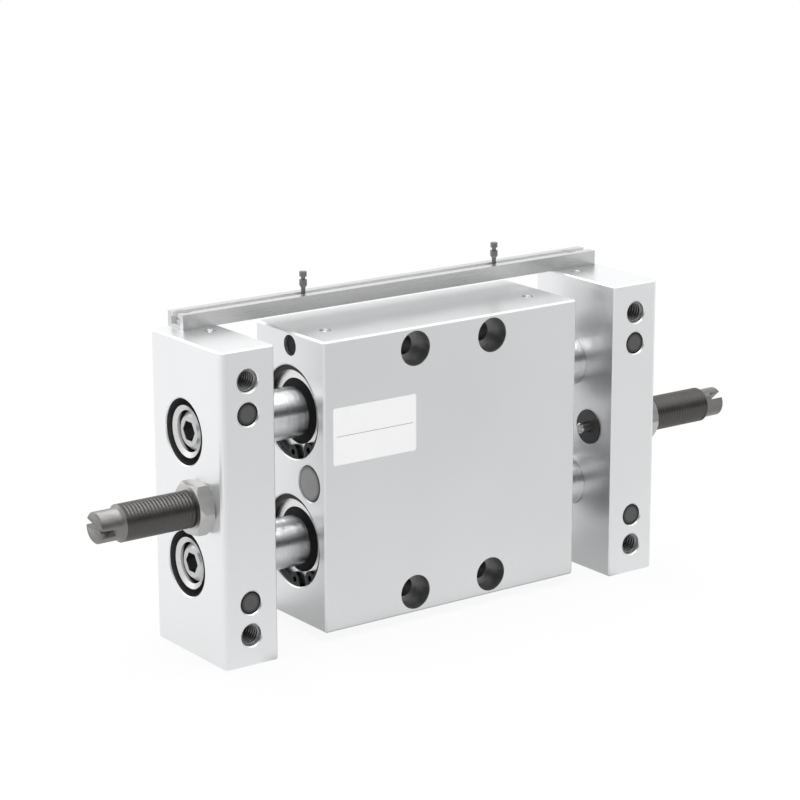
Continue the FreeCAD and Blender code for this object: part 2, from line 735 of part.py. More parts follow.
def switch_rail():
    rail = put(new_body("switch_rail"), RAIL_SHIFT, RAIL_AXIS, PLATE_HEIGHT)
    half, mouth, slot = "dims.rail_width / 2", "dims.rail_mouth / 2", "dims.rail_slot_width / 2"
    lip = "(dims.rail_floor + dims.rail_slot_height)"
    right = [
        (half, "0"),
        (half, "dims.rail_height"),
        (mouth, "dims.rail_height"),
        (mouth, lip),
        (slot, lip),
        (slot, "dims.rail_floor"),
    ]
    section = right + [(f"-{x}", z) for x, z in reversed(right)]
    pad(rail, outline(sketch_on(rail, "YZ_Plane", f"-{RAIL_LENGTH} / 2"), section), RAIL_LENGTH)
    centres = [(f"{PLATE_MIDDLE} - {RAIL_SHIFT}", "0"), (f"-{PLATE_MIDDLE} - {RAIL_SHIFT}", "0")]
    holes = (
        ("dims.rail_slot_width", "dims.rail_height - dims.rail_floor"),
        ("dims.rail_screw_diameter + 2 * dims.slide_clearance", None),
    )
    for diameter, depth in holes:
        pocket(rail, circles(sketch_on(rail, "XY_Plane", "dims.rail_height"), centres, diameter), depth)
    return rail


def rail_screws(name):
    shank, head = radius("dims.rail_screw_diameter"), f"({RAIL_HEAD_DIAMETER} / 2)"
    profile = [
        ("-dims.rail_screw_length", "0"),
        ("-dims.rail_screw_length", shank),
        ("0", shank),
        ("0", head),
        ("dims.rail_head_height", head),
        ("dims.rail_head_height", "0"),
    ]
    height = f"{PLATE_HEIGHT} + dims.rail_floor"
    screws = [
        turned(f"{side}_{name}", profile, place, RAIL_AXIS, height, ALONG_Z)
        for side, place in (("left", f"-{PLATE_MIDDLE}"), ("right", PLATE_MIDDLE))
    ]
    return group(name, screws)


def clamp(side):
    # Slot nut, screw and loose collar that would hold a position switch on the rail
    place = f"dims.{side}_clamp_place"
    floor = f"({PLATE_HEIGHT} + dims.rail_floor + dims.slide_clearance)"
    half_length, half_width = "dims.clamp_nut_length / 2", f"{RAIL_HEAD_DIAMETER} / 2"
    nut = put(new_body(f"{side}_clamp_nut"), place, RAIL_AXIS, floor)
    base = rectangle(sketch_on(nut, "XY_Plane"), f"-{half_length}", f"-{half_width}", half_length, half_width)
    pad(nut, base, "dims.rail_slot_height - 2 * dims.slide_clearance")
    hole = circles(sketch_on(nut, "XY_Plane"), [("0", "0")], bored("dims.clamp_stem_diameter"))
    pocket(nut, hole, reverse=True)
    top = f"({PLATE_HEIGHT} + dims.rail_height + dims.clamp_height)"
    neck = f"({top} - dims.clamp_head_height)"
    stem, head = radius("dims.clamp_stem_diameter"), radius("dims.clamp_head_diameter")
    screw_profile = [(floor, "0"), (floor, stem), (neck, stem), (neck, head), (top, head), (top, "0")]
    screw = turned(f"{side}_clamp_screw", screw_profile, place, RAIL_AXIS, "0", ALONG_Z)
    inside = radius("dims.clamp_stem_diameter", "dims.fit_clearance")
    outside = radius("dims.clamp_collar_diameter")
    upper = f"({neck} - dims.clamp_neck)"
    lower = f"({upper} - dims.clamp_collar_height)"
    collar_profile = [
        (lower, inside),
        (f"{lower} + dims.clamp_collar_cone", outside),
        (upper, outside),
        (upper, inside),
    ]
    collar = turned(f"{side}_clamp_collar", collar_profile, place, RAIL_AXIS, "0", ALONG_Z)
    return [nut, screw, collar]


# Fixed frame: plates, rods and what is screwed to them
right_frame = [
    end_plate(),
    at_both_rods("right_rod_screws", rod_screw),
    at_both_rods("right_rod_washers", rod_washer),
    port_plugs("right_port_plugs"),
    lock_nut(),
]
left_frame = [mirrored(piece.Label.replace("right", "left"), piece) for piece in right_frame]
left_damper = damper_body("damper_to_mirror", "dims.left_slot_angle")
dampers = [mirrored("left_damper_body", left_damper), damper_body("right_damper_body", "dims.right_slot_angle")]
rods = [rod(f"{place}_rod", height) for place, height in ROD_HEIGHTS.items()]
pistons = [piston(f"{place}_piston", height) for place, height in ROD_HEIGHTS.items()]
plate_ball = f"({OUTER} - dims.plate_ball_inset)"
frame_inside = [
    at_both_rods("piston_seals", piston_seal),
    piston_clips("piston_clips"),
    passage_balls(
        "plate_passage_balls",
        (plate_ball, f"-{plate_ball}"),
        f"{FRONT} + dims.plate_ball_depth",
        PLATE_HEIGHT,
    ),
    switch_rail(),
    rail_screws("rail_screws"),
]

# Housing and what closes its bores
right_closures = [
    at_both_rods("right_rod_covers", rod_cover),
    at_both_rods("right_bushings", bushing),
    at_both_rods("right_rod_seals", rod_seal),
    at_both_rods("right_cover_orings", cover_oring),
    at_both_rods("right_retaining_rings", retaining_ring),
    stop_disc(),
    sensor_magnet(),
]
left_closures = [
    mirrored(piece.Label.replace("right", "left"), piece, "dims.rest_offset") for piece in right_closures
]
housing_ball = f"({HOUSING_LENGTH} / 2 - dims.housing_ball_inset)"
housing_pieces = [
    housing(),
    passage_balls(
        "housing_passage_balls",
        (f"dims.rest_offset + {housing_ball}", f"dims.rest_offset - {housing_ball}"),
        f"{HOUSING_FRONT} + dims.housing_ball_depth",
        HOUSING_TOP,
    ),
]

# Plungers, drawn out by their share of the travel that is left on each side, and the clamps on the rail
right_tip = f"{DAMPER_FRONT} - {PLUNGER_REST} - {DAMPER_RATIO} * (dims.stroke / 2 - dims.rest_offset)"
left_tip = f"-({DAMPER_FRONT} - {PLUNGER_REST}) + {DAMPER_RATIO} * (dims.stroke / 2 + dims.rest_offset)"
plungers = [plunger("left_plunger", left_tip, AGAINST_X), plunger("right_plunger", right_tip, ALONG_X)]
clamps = clamp("left") + clamp("right")

nodes = right_frame + left_frame + dampers + rods + pistons + frame_inside
nodes += right_closures + left_closures + housing_pieces + plungers + clamps

doc.recompute()
failed = [piece.Label for piece in doc.Objects if {"Invalid", "Error"} & set(piece.State)]
failed += [piece.Label for piece in nodes if piece.Shape.isNull() or not piece.Shape.isValid()]
if failed:
    raise RuntimeError(f"These pieces did not build: {failed}")
os.makedirs("parts", exist_ok=True)
for piece in nodes:
    piece.Shape.exportStep(f"parts/{piece.Label}.step")
    print(piece.Label, len(piece.Shape.Solids), round(piece.Shape.Volume, 2))
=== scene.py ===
# %% [markdown]
# # Dressing a pneumatic slide table
# The packed parts already have the true shapes of the plates, the housing, the rods and their small
# pieces. This lesson gives each of them its finish, cuts the fine threads that a CAD model leaves out,
# sticks on a blank label, and sets up the camera and the light of a plain catalogue picture.

# %% Load the packed parts
import math

import bmesh
import bpy
from mathutils import Matrix, Vector


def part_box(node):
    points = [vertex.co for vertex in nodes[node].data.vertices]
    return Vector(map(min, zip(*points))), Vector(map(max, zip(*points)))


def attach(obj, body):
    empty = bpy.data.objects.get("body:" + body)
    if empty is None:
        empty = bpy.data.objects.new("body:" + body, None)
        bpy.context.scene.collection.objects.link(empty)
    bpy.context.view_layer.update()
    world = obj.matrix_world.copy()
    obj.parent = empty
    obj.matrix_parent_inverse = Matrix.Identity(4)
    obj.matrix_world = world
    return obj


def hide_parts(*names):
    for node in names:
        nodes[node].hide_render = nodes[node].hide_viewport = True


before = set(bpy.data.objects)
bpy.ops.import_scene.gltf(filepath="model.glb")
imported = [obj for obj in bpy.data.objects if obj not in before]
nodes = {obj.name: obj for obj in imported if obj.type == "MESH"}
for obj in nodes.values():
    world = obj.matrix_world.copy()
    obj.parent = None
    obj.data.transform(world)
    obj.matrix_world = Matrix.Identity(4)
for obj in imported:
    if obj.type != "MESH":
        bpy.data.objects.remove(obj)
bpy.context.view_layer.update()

scene = bpy.context.scene

# %% [markdown]
# ## Measuring instead of guessing
# Places could be typed in as numbers, but they would be wrong as soon as a part changes. So they are
# read from the parts themselves. A rod gives the axis that its washers, covers and rings are turned
# about, and the two rods together give the middle height, at which the dampers lie.

# %% Axes and levels of the real pieces
MM = 0.001
SIDES = ("left", "right")


def middle(node):
    low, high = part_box(node)
    return (low + high) / 2


UPPER_ROD, LOWER_ROD = middle("upper_rod"), middle("lower_rod")
DAMPER_CENTRE = {side: middle(f"{side}_damper_body") for side in SIDES}
MID_HEIGHT = (UPPER_ROD.z + LOWER_ROD.z) / 2
HALF_PITCH = (UPPER_ROD.z - LOWER_ROD.z) / 2
HOUSING_LOW, HOUSING_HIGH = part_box("housing")
PLATE_LOW, PLATE_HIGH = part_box("right_end_plate")
print("rods", round(2 * HALF_PITCH / MM, 2), "mm apart, middle height", round(MID_HEIGHT / MM, 2), "mm")

# %% [markdown]
# ## Shader sums in plain Python
# A finish is a small graph of nodes. Writing it node by node hides the idea, so a socket is wrapped in
# a class whose operators add Math nodes: `0.4 + 0.1 * grain` reads as what it does. Every other node
# comes from one method, which takes the node's kind, its settings and the values or links of its
# inputs.

# %% A socket that can be added and multiplied
def operator(operation, turned=False):
    # Adds one Math node; turned is for a number that stands on the left, as in 1 - mask
    def apply(signal, other):
        return signal.math(operation, *((other, signal) if turned else (signal, other)))

    return apply


class Signal:
    def __init__(self, graph, socket):
        self.graph = graph
        self.socket = socket

    def math(self, operation, *values):
        return self.graph.node("ShaderNodeMath", {"operation": operation}, dict(enumerate(values)))

    __add__, __radd__ = operator("ADD"), operator("ADD", turned=True)
    __sub__, __rsub__ = operator("SUBTRACT"), operator("SUBTRACT", turned=True)
    __mul__, __rmul__ = operator("MULTIPLY"), operator("MULTIPLY", turned=True)
    __truediv__, __rtruediv__ = operator("DIVIDE"), operator("DIVIDE", turned=True)
    __pow__ = operator("POWER")
    above = operator("GREATER_THAN")
    below = operator("LESS_THAN")
    at_least = operator("MAXIMUM")
    at_most = operator("MINIMUM")

    def __abs__(self):
        return self.math("ABSOLUTE", self)

    def ramp(self, start, end):
        # Rises from 0 to 1 between the two values and stays there
        return ((self - start) / (end - start)).at_least(0.0).at_most(1.0)

    def wave(self, length):
        return self.math("SINE", self * (2 * math.pi / length))


print("shader sums know", ", ".join(name for name in vars(Signal) if not name.startswith("_")))

# %% A node graph with the one method that makes its nodes
class Graph:
    def __init__(self, owner):
        owner.use_nodes = True
        self.tree = owner.node_tree
        self.tree.nodes.clear()

    def node(self, kind, settings=None, inputs=None, output=0):
        made = self.tree.nodes.new(kind)
        for name, setting in (settings or {}).items():
            setattr(made, name, setting)
        for name, value in (inputs or {}).items():
            if isinstance(value, Signal):
                self.tree.links.new(value.socket, made.inputs[name])
            else:
                made.inputs[name].default_value = value
        return Signal(self, made.outputs[output]) if made.outputs else None

    def axis(self, name):
        return self.node("ShaderNodeSeparateXYZ", None, {"Vector": self.place}, name)


print("graphs know", ", ".join(name for name in vars(Graph) if not name.startswith("_")))

# %% A finish, which is the graph of a material
MIX_START, MIX_END, MIX_RESULT = 6, 7, 2  # Places of the colours among a Mix node's sockets


class Finish(Graph):
    def __init__(self, name):
        self.material = bpy.data.materials.new(name)
        super().__init__(self.material)
        self.place = self.node("ShaderNodeTexCoord", output="Object")

    def noise(self, size, stretch=(1, 1, 1), detail=3.0, seed=0.0):
        # Grains about this large, in metres, drawn out along each axis by the stretch given
        scale = tuple(1 / (size * along) for along in stretch)
        placing = {"Vector": self.place, "Location": (seed, seed, seed), "Scale": scale}
        grains = self.node("ShaderNodeMapping", None, placing)
        inputs = {"Vector": grains, "Scale": 1.0, "Detail": detail}
        return self.node("ShaderNodeTexNoise", None, inputs, "Fac")

    def mix(self, start, end, share):
        settings = {"data_type": "RGBA", "clamp_factor": True}
        inputs = {"Factor": share, MIX_START: start, MIX_END: end}
        return self.node("ShaderNodeMix", settings, inputs, MIX_RESULT)

    def bump(self, height, depth, strength):
        inputs = {"Height": height, "Distance": depth, "Strength": strength}
        return self.node("ShaderNodeBump", None, inputs)

    def surface(self, **inputs):
        # base_color stands for the socket Base Color, and so on
        sockets = {}
        for name, value in inputs.items():
            sockets[name.replace("_", " ").title().replace("Ior", "IOR")] = value
        shader = self.node("ShaderNodeBsdfPrincipled", None, sockets)
        self.node("ShaderNodeOutputMaterial", None, {"Surface": shader})
        return self.material


print("finishes also know", ", ".join(name for name in vars(Finish) if not name.startswith("_")))

# %% Greys, and how a finish gets onto the parts
def grey(level, warmth=0.0):
    return (level * (1 + warmth), level, level * (1 - warmth), 1.0)


def both(*kinds):
    return [f"{side}_{kind}" for kind in kinds for side in SIDES]


def give(material, *names):
    # A part's mesh is never changed: only the material in its slots is
    for name in names:
        mesh = nodes[name].data
        mesh.materials.clear()
        mesh.materials.append(material)
    print(material.name, "->", ", ".join(names))


print("a pair of parts is named like", both("end_plate"))

# %% [markdown]
# ## Satin anodised aluminium
# The plates and the housing are milled, blasted with fine beads and clear-anodised. That gives a pale,
# even grey with a soft gloss and a grain of a tenth of a millimetre or two. A plain metal colour would
# look like plastic, so the grain goes into the bump and the roughness, and very faint cloudy patches go
# into the colour. In the bores for screw heads the colour is darker: painted shade, where little light
# gets down. The plates are given a lighter grey than the housing: painted light, for their lit outer
# faces. The height is folded about the middle, so that one distance serves the upper and the lower
# rod.

# %% Recesses that get painted shade, found by their distance from an axis
COUNTERBORE_RADIUS = 8.8 * MM
MOUNT_RADIUS = 4.8 * MM
MOUNT_PITCH = Vector((25.5, 67.5)) * MM
RIM_WIDTH = 0.3 * MM


def distance(across, up):
    return (across * across + up * up) ** 0.5


def from_rod(finish):
    return distance(finish.axis("Y") - UPPER_ROD.y, abs(finish.axis("Z") - MID_HEIGHT) - HALF_PITCH)


def between(place, low, high):
    # Not quite up to the faces at both ends, which stay pale
    return place.above(low + RIM_WIDTH) * place.below(high - RIM_WIDTH)


# Painted shade: a darker colour in the plates' counterbores for the cap screws
def counterbore_painted_shade(finish):
    painted_shade_inside = from_rod(finish).below(COUNTERBORE_RADIUS)
    return painted_shade_inside * between(abs(finish.axis("X")), PLATE_LOW.x, PLATE_HIGH.x)


# Painted shade: a darker colour in the housing's mounting holes
def mount_hole_painted_shade(finish):
    across = abs(finish.axis("X") - middle("housing").x) - MOUNT_PITCH.x / 2
    up = abs(finish.axis("Z") - MID_HEIGHT) - MOUNT_PITCH.y / 2
    painted_shade_inside = distance(across, up).below(MOUNT_RADIUS)
    return painted_shade_inside * between(finish.axis("Y"), HOUSING_LOW.y, HOUSING_HIGH.y)


print("rods' axes at Y", round(UPPER_ROD.y / MM, 2), "mm")

# %% Finish of the plates and the housing
BEAD_GRAIN = 0.16 * MM
BEAD_DEPTH = 0.02 * MM
CLOUD_SIZE = 30 * MM
HANDLING_SIZE = 8 * MM
COOL_TINT = -0.008


def satin_anodised(name, dark, light, painted_shade):
    finish = Finish(name)
    grain = finish.noise(BEAD_GRAIN, detail=2.0)
    clouds = finish.noise(CLOUD_SIZE, detail=4.0, seed=3.0)
    handling = finish.noise(HANDLING_SIZE, detail=5.0, seed=8.0)
    colour = finish.mix(grey(dark, COOL_TINT), grey(light, COOL_TINT), clouds)
    return finish.surface(
        # Painted shade: grey where the mask finds a bore for screw heads
        base_color=finish.mix(colour, grey(0.40), painted_shade(finish)),
        metallic=0.9,
        roughness=0.27 + 0.08 * grain + 0.05 * handling,
        normal=finish.bump(grain, BEAD_DEPTH, strength=0.5),
    )


# Painted light: the plates' grey is lighter than the housing's, for their lit outer faces
give(satin_anodised("satin_anodised_housing", 0.795, 0.845, mount_hole_painted_shade), "housing")
give(satin_anodised("satin_anodised_plates", 0.86, 0.91, counterbore_painted_shade), *both("end_plate"))

# %% [markdown]
# ## Drawn rail
# The switch rail is a drawn bar, and drawing leaves long fine lines along it. Grooves in the mesh would
# be far too many, so the noise is stretched along X instead, and the bar is a little darker than the
# blasted blocks. The slot is made matt, and its colour is paler than the bar: painted light, so that the
# narrow slot shows little shade.

# %% Finish of the rail
SLOT_HALF_WIDTH = 2.15 * MM
SLOT_LIP = 0.02 * MM
DRAWN_LINE = 0.2 * MM
DRAWN_STRETCH = (150, 1, 1)
DRAWN_DEPTH = 0.03 * MM
DRAWN_CLOUD = 20 * MM
RAIL_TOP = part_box("switch_rail")[1].z


def drawn_rail():
    finish = Finish("drawn_aluminium_rail")
    matt_slot_painted_light = abs(finish.axis("Y") - middle("switch_rail").y).below(SLOT_HALF_WIDTH)
    matt_slot_painted_light = matt_slot_painted_light * finish.axis("Z").below(RAIL_TOP - SLOT_LIP)
    lines = finish.noise(DRAWN_LINE, stretch=DRAWN_STRETCH)
    clouds = finish.noise(DRAWN_CLOUD, stretch=(3, 1, 1), seed=5.0)
    bar = finish.mix(grey(0.62), grey(0.70), 0.5 * lines + 0.5 * clouds)
    return finish.surface(
        # Painted light: a paler colour in the slot
        base_color=finish.mix(bar, grey(0.74), matt_slot_painted_light),
        metallic=0.9 - 0.7 * matt_slot_painted_light,
        roughness=0.22 + 0.14 * lines + 0.3 * matt_slot_painted_light,
        normal=finish.bump(lines, DRAWN_DEPTH, strength=0.5),
    )


give(drawn_rail(), "switch_rail")

# %% [markdown]
# ## Ground and hard-chromed rods
# A piston rod is ground round and chromed, so the marks it has run round it. A mirror would be too
# perfect, and an even roughness would blur the rod all ways alike. Lines that change along X only are
# far too fine to see one by one, but they draw what the rod mirrors out along it.

# %% Finish of the rods
GROUND_LINE = 0.02 * MM
GROUND_STRETCH = (1, 5000, 5000)
GROUND_DEPTH = 0.04 * MM
FILM_SIZE = 6 * MM


def hard_chrome():
    finish = Finish("hard_chrome")
    lines = finish.noise(GROUND_LINE, stretch=GROUND_STRETCH, detail=2.0)
    film = finish.noise(FILM_SIZE, seed=2.0)
    return finish.surface(
        base_color=finish.mix(grey(0.84, warmth=-0.01), grey(0.90, warmth=-0.01), film),
        metallic=1.0,
        roughness=0.08 + 0.04 * lines + 0.03 * film,
        normal=finish.bump(lines, GROUND_DEPTH, strength=1.0),
    )


give(hard_chrome(), "upper_rod", "lower_rod")

# %% [markdown]
# ## Turned faces
# Covers, pistons, washers, nuts and plungers are turned on a lathe about a rod or about the damper, and
# the tool leaves rings. Cutting them would take thousands of faces. The distance from the axis, put
# through a sine, draws them in the bump instead.

# %% Distance from the damper's axis, and a turned finish
TURNED_PITCH = 0.12 * MM
TURNED_DEPTH = 0.006 * MM
STAIN_SIZE = 2 * MM


def from_damper(finish):
    return distance(finish.axis("Y") - DAMPER_CENTRE["left"].y, finish.axis("Z") - MID_HEIGHT)


def stained(finish):
    return finish.noise(STAIN_SIZE, detail=4.0, seed=4.0)


def turned_metal(name, from_axis, dark, light, roughness):
    finish = Finish(name)
    rings = from_axis(finish).wave(TURNED_PITCH)
    stain = stained(finish)
    return finish.surface(
        base_color=finish.mix(dark, light, stain),
        metallic=1.0,
        roughness=roughness + 0.10 * stain + 0.03 * rings,
        normal=finish.bump(rings, TURNED_DEPTH, strength=0.5),
    )


print("dampers' axis at Y", round(DAMPER_CENTRE["left"].y / MM, 2), "mm")

# %% Finishes of the covers, pistons, washers, lock nuts and plungers
give(
    turned_metal("turned_aluminium", from_rod, grey(0.72), grey(0.82), roughness=0.24),
    *both("rod_covers"),
    "upper_piston",
    "lower_piston",
)
give(
    turned_metal("nickel_washers", from_rod, grey(0.60, 0.01), grey(0.72, 0.01), roughness=0.20),
    *both("rod_washers"),
)
give(
    turned_metal("nickel_lock_nut", from_damper, grey(0.50, 0.01), grey(0.60, 0.01), roughness=0.28),
    *both("lock_nut"),
)
give(turned_metal("plunger_steel", from_damper, grey(0.50), grey(0.62), roughness=0.18), *both("plunger"))

# %% [markdown]
# ## Stop discs
# The discs that meet the dampers are ground flat and pressed into the housing. Towards each disc's rim
# the colour darkens: painted shade of the joint with the housing.

# %% Finish of the stop discs
STOP_LOW, STOP_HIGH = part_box("right_stop_disc")
STOP_RADIUS = (STOP_HIGH.z - STOP_LOW.z) / 2
STOP_RIM_SHADE_START = 0.78 * STOP_RADIUS


def ground_stop():
    finish = Finish("ground_stop_steel")
    out = from_damper(finish)
    stain = stained(finish)
    face = finish.mix(grey(0.29), grey(0.36), stain)
    return finish.surface(
        # Painted shade: darker towards the rim, at the joint with the housing
        base_color=finish.mix(face, grey(0.10), out.ramp(STOP_RIM_SHADE_START, STOP_RADIUS)),
        metallic=0.9,
        roughness=0.38 + 0.10 * stain,
        normal=finish.bump(out.wave(TURNED_PITCH), TURNED_DEPTH, strength=0.5),
    )


give(ground_stop(), *both("stop_disc"))

# %% [markdown]
# ## Cap screws
# Light hardly gets down into a hexagon socket, so its colour is made darker too: painted shade. The
# socket is told from the head by two distances, near the axis and below the head's top, so the part
# needs no second material.

# %% Finish of the cap screws
SCREW_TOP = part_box("right_rod_screws")[1].x
SOCKET_RADIUS = 3.0 * MM
SOCKET_EDGE = 0.3 * MM


def cap_screw():
    finish = Finish("zinc_cap_screws")
    out = from_rod(finish)
    painted_shade_inside = out.below(SOCKET_RADIUS) * abs(finish.axis("X")).below(SCREW_TOP - SOCKET_EDGE)
    stain = stained(finish)
    head = finish.mix(grey(0.52, warmth=-0.01), grey(0.64, warmth=-0.01), stain)
    return finish.surface(
        # Painted shade: a darker colour in the socket
        base_color=finish.mix(head, grey(0.25), painted_shade_inside),
        metallic=0.95,
        roughness=0.24 + 0.10 * stain,
        normal=finish.bump(out.wave(TURNED_PITCH), TURNED_DEPTH, strength=0.5),
    )


give(cap_screw(), *both("rod_screws"))

# %% [markdown]
# ## Black oxide, rubber, bronze and ferrite
# The retaining rings and the clips are blackened steel: not black paint, but a thin mottled skin that
# still shines like metal. Rubber is dull with a moulded grain, sintered bronze is porous, and a ferrite
# magnet is a dull black ceramic. All of them are a fine grain with larger patches, so one function
# makes them.

# %% Dark finishes
PATCH_TO_GRAIN = 12
OXIDE_GRAIN = 0.25 * MM
OXIDE_DEPTH = 0.01 * MM


def mottled(name, dark, light, metallic, roughness, grain, depth, shine=0.5):
    finish = Finish(name)
    grains = finish.noise(grain, detail=4.0)
    patches = finish.noise(grain * PATCH_TO_GRAIN, detail=5.0, seed=6.0)
    return finish.surface(
        base_color=finish.mix(dark, light, 0.4 * grains + 0.6 * patches),
        metallic=metallic,
        specular_ior_level=shine,
        roughness=roughness + 0.18 * patches,
        normal=finish.bump(grains, depth, strength=0.6),
    )


black_oxide = mottled(
    "black_oxide_steel",
    grey(0.012, warmth=0.03),
    grey(0.036, warmth=0.06),
    metallic=0.8,
    roughness=0.30,
    grain=OXIDE_GRAIN,
    depth=OXIDE_DEPTH,
)
rubber = mottled(
    "nitrile_rubber",
    grey(0.006),
    grey(0.014),
    metallic=0.0,
    roughness=0.50,
    grain=0.2 * MM,
    depth=0.02 * MM,
    shine=0.15,
)
bronze = mottled(
    "sintered_bronze",
    (0.36, 0.24, 0.11, 1),
    (0.52, 0.37, 0.19, 1),
    metallic=1.0,
    roughness=0.36,
    grain=0.15 * MM,
    depth=0.02 * MM,
)
ferrite = mottled(
    "ferrite", grey(0.010), grey(0.022), metallic=0.0, roughness=0.62, grain=0.3 * MM, depth=0.03 * MM
)
give(black_oxide, *both("retaining_rings"), "piston_clips")
give(rubber, *both("rod_seals", "cover_orings"), "piston_seals")
give(bronze, *both("bushings"))
give(ferrite, *both("sensor_magnet"))

# %% [markdown]
# ## Small plated steel
# The nuts in the rail, its screws and the pressed-in balls are bright zinc. The clamp screws, which are
# handled, are duller. They are too small for marks of their own to show, so the mottled finish serves
# again.

# %% Finishes of the small steel pieces
ZINC_GRAIN = 0.3 * MM
ZINC_DEPTH = 0.006 * MM


def zinc(name, dark, light, metallic, roughness):
    shades = grey(dark, warmth=-0.01), grey(light, warmth=-0.01)
    return mottled(name, *shades, metallic, roughness, grain=ZINC_GRAIN, depth=ZINC_DEPTH)


give(
    zinc("bright_zinc", 0.50, 0.68, metallic=1.0, roughness=0.20),
    *both("clamp_nut"),
    "rail_screws",
    "plate_passage_balls",
    "housing_passage_balls",
)
give(zinc("handled_zinc", 0.16, 0.26, metallic=0.9, roughness=0.24), *both("clamp_screw", "clamp_collar"))

# %% [markdown]
# ## Port plugs
# The plugs in the air ports are dull and dark, and darker still towards their rims. A plug is found as
# the rods are: X and the height are folded, so that one distance serves all four.

# %% Finish of the plugs
PLUG_LOW, PLUG_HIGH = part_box("right_port_plugs")
PLUG_RADIUS = (PLUG_HIGH.x - PLUG_LOW.x) / 2
PLUG_X = (PLUG_HIGH.x + PLUG_LOW.x) / 2
PLUG_HALF_PITCH = (PLUG_HIGH.z - PLUG_LOW.z) / 2 - PLUG_RADIUS
PLUG_RIM_START, PLUG_RIM_END = 0.60 * PLUG_RADIUS, 0.92 * PLUG_RADIUS
PLUG_GRAIN = 0.3 * MM
PLUG_DEPTH = 0.02 * MM


def dull_plug():
    finish = Finish("dull_port_plug")
    out = distance(abs(finish.axis("X")) - PLUG_X, abs(finish.axis("Z") - MID_HEIGHT) - PLUG_HALF_PITCH)
    grain = finish.noise(PLUG_GRAIN, detail=4.0)
    face = finish.mix(grey(0.10), grey(0.135), grain)
    return finish.surface(
        base_color=finish.mix(face, grey(0.035), out.ramp(PLUG_RIM_START, PLUG_RIM_END)),
        metallic=0.6,
        roughness=0.42 + 0.14 * grain,
        normal=finish.bump(grain, PLUG_DEPTH, strength=0.5),
    )


give(dull_plug(), *both("port_plugs"))

# %% [markdown]
# ## Threaded dampers
# A screw-in damper is threaded from end to end, and the fine thread is what the eye sees first. A bump
# could draw it, but the outline would stay straight, so it is modelled. A profile with one tooth per
# turn is drawn along the damper and spun once round the axis while it moves on by one turn: each tooth
# then ends where the next one starts, and merging the doubles leaves one unbroken helix. The plain tail
# with its screwdriver slot is cut from a copy of the packed part, so that it stays exactly where the
# part has it.

# %% Finish of the dampers: blackened thread, bare tail
DAMPER_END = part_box("right_damper_body")[1].x
TAIL_LENGTH = 6.9 * MM


def damper_steel():
    finish = Finish("damper_steel")
    grain = finish.noise(OXIDE_GRAIN, detail=4.0)
    patches = finish.noise(OXIDE_GRAIN * PATCH_TO_GRAIN, detail=5.0, seed=6.0)
    bare = abs(finish.axis("X")).above(DAMPER_END - TAIL_LENGTH)
    black = finish.mix(grey(0.075, warmth=0.02), grey(0.115, warmth=0.03), 0.4 * grain + 0.6 * patches)
    steel = finish.mix(grey(0.18, warmth=0.02), grey(0.28, warmth=0.02), patches)
    return finish.surface(
        base_color=finish.mix(black, steel, bare),
        metallic=0.85,
        roughness=0.30 + 0.16 * patches,
        normal=finish.bump(grain, OXIDE_DEPTH, strength=0.6),
    )


DAMPER_STEEL = damper_steel()
give(DAMPER_STEEL, *both("damper_body"))

# %% A spun helix
THREAD_PITCH = 1.0 * MM
TOOTH = ((0.0, 1.0), (0.32, 0.0), (0.68, 0.0))  # Share of the pitch, and of the depth, at each corner
TURN_STEPS = 40
LEAD_TURNS, TAIL_TURNS = 2, 1  # Spare turns before the start and after the end, which are cut away
MERGE_DISTANCE = THREAD_PITCH / 50


def only(kind, geometry):
    # The corners, or the edges, of a mixed list
    return [piece for piece in geometry if isinstance(piece, kind)]


def cut_away(mesh, place, outward):
    # Takes away what lies beyond a plane, and gives the edges of the cut
    geometry = mesh.verts[:] + mesh.edges[:] + mesh.faces[:]
    cut = bmesh.ops.bisect_plane(mesh, geom=geometry, plane_co=place, plane_no=outward, clear_outer=True)
    return only(bmesh.types.BMEdge, cut["geom_cut"])


def spun_helix(mesh, start, end, centre, axis, crest, depth):
    # Thread from start to end along the axis, cut square at both ends; a negative depth cuts outwards
    turns = LEAD_TURNS + int((end - start) / THREAD_PITCH) + TAIL_TURNS
    side = axis.orthogonal().normalized()
    points = []
    for turn in range(turns):
        for along, cut in TOOTH:
            reach = start + (turn - LEAD_TURNS + along) * THREAD_PITCH
            points.append(mesh.verts.new(centre + axis * reach + side * (crest - depth * cut)))
    edges = [mesh.edges.new(pair) for pair in zip(points, points[1:])]
    bmesh.ops.spin(
        mesh,
        geom=points + edges,
        cent=centre,
        axis=axis,
        dvec=axis * (THREAD_PITCH / TURN_STEPS),
        angle=2 * math.pi,
        steps=TURN_STEPS,
    )
    bmesh.ops.remove_doubles(mesh, verts=mesh.verts[:], dist=MERGE_DISTANCE)
    cut_away(mesh, centre + axis * start, -axis)
    cut_away(mesh, centre + axis * end, axis)
    # The cuts leave slivers where they pass close to a corner of the thread
    bmesh.ops.remove_doubles(mesh, verts=mesh.verts[:], dist=MERGE_DISTANCE)
    rims = ([], [])
    for edge in mesh.edges:
        if edge.is_boundary:
            reach = (edge.verts[0].co - centre).dot(axis)
            rims[reach > (start + end) / 2].append(edge)
    return rims


print("a turn of the thread has", TURN_STEPS, "steps and", len(TOOTH), "corners along")

# %% From a bmesh to a finished piece
SHARP_ANGLE = math.radians(32)
NO_LENGTH = 0.001 * MM


def join(mesh, other):
    # Moves all of the other bmesh into the first
    data = bpy.data.meshes.new("joined")
    other.to_mesh(data)
    other.free()
    mesh.from_mesh(data)
    bpy.data.meshes.remove(data)


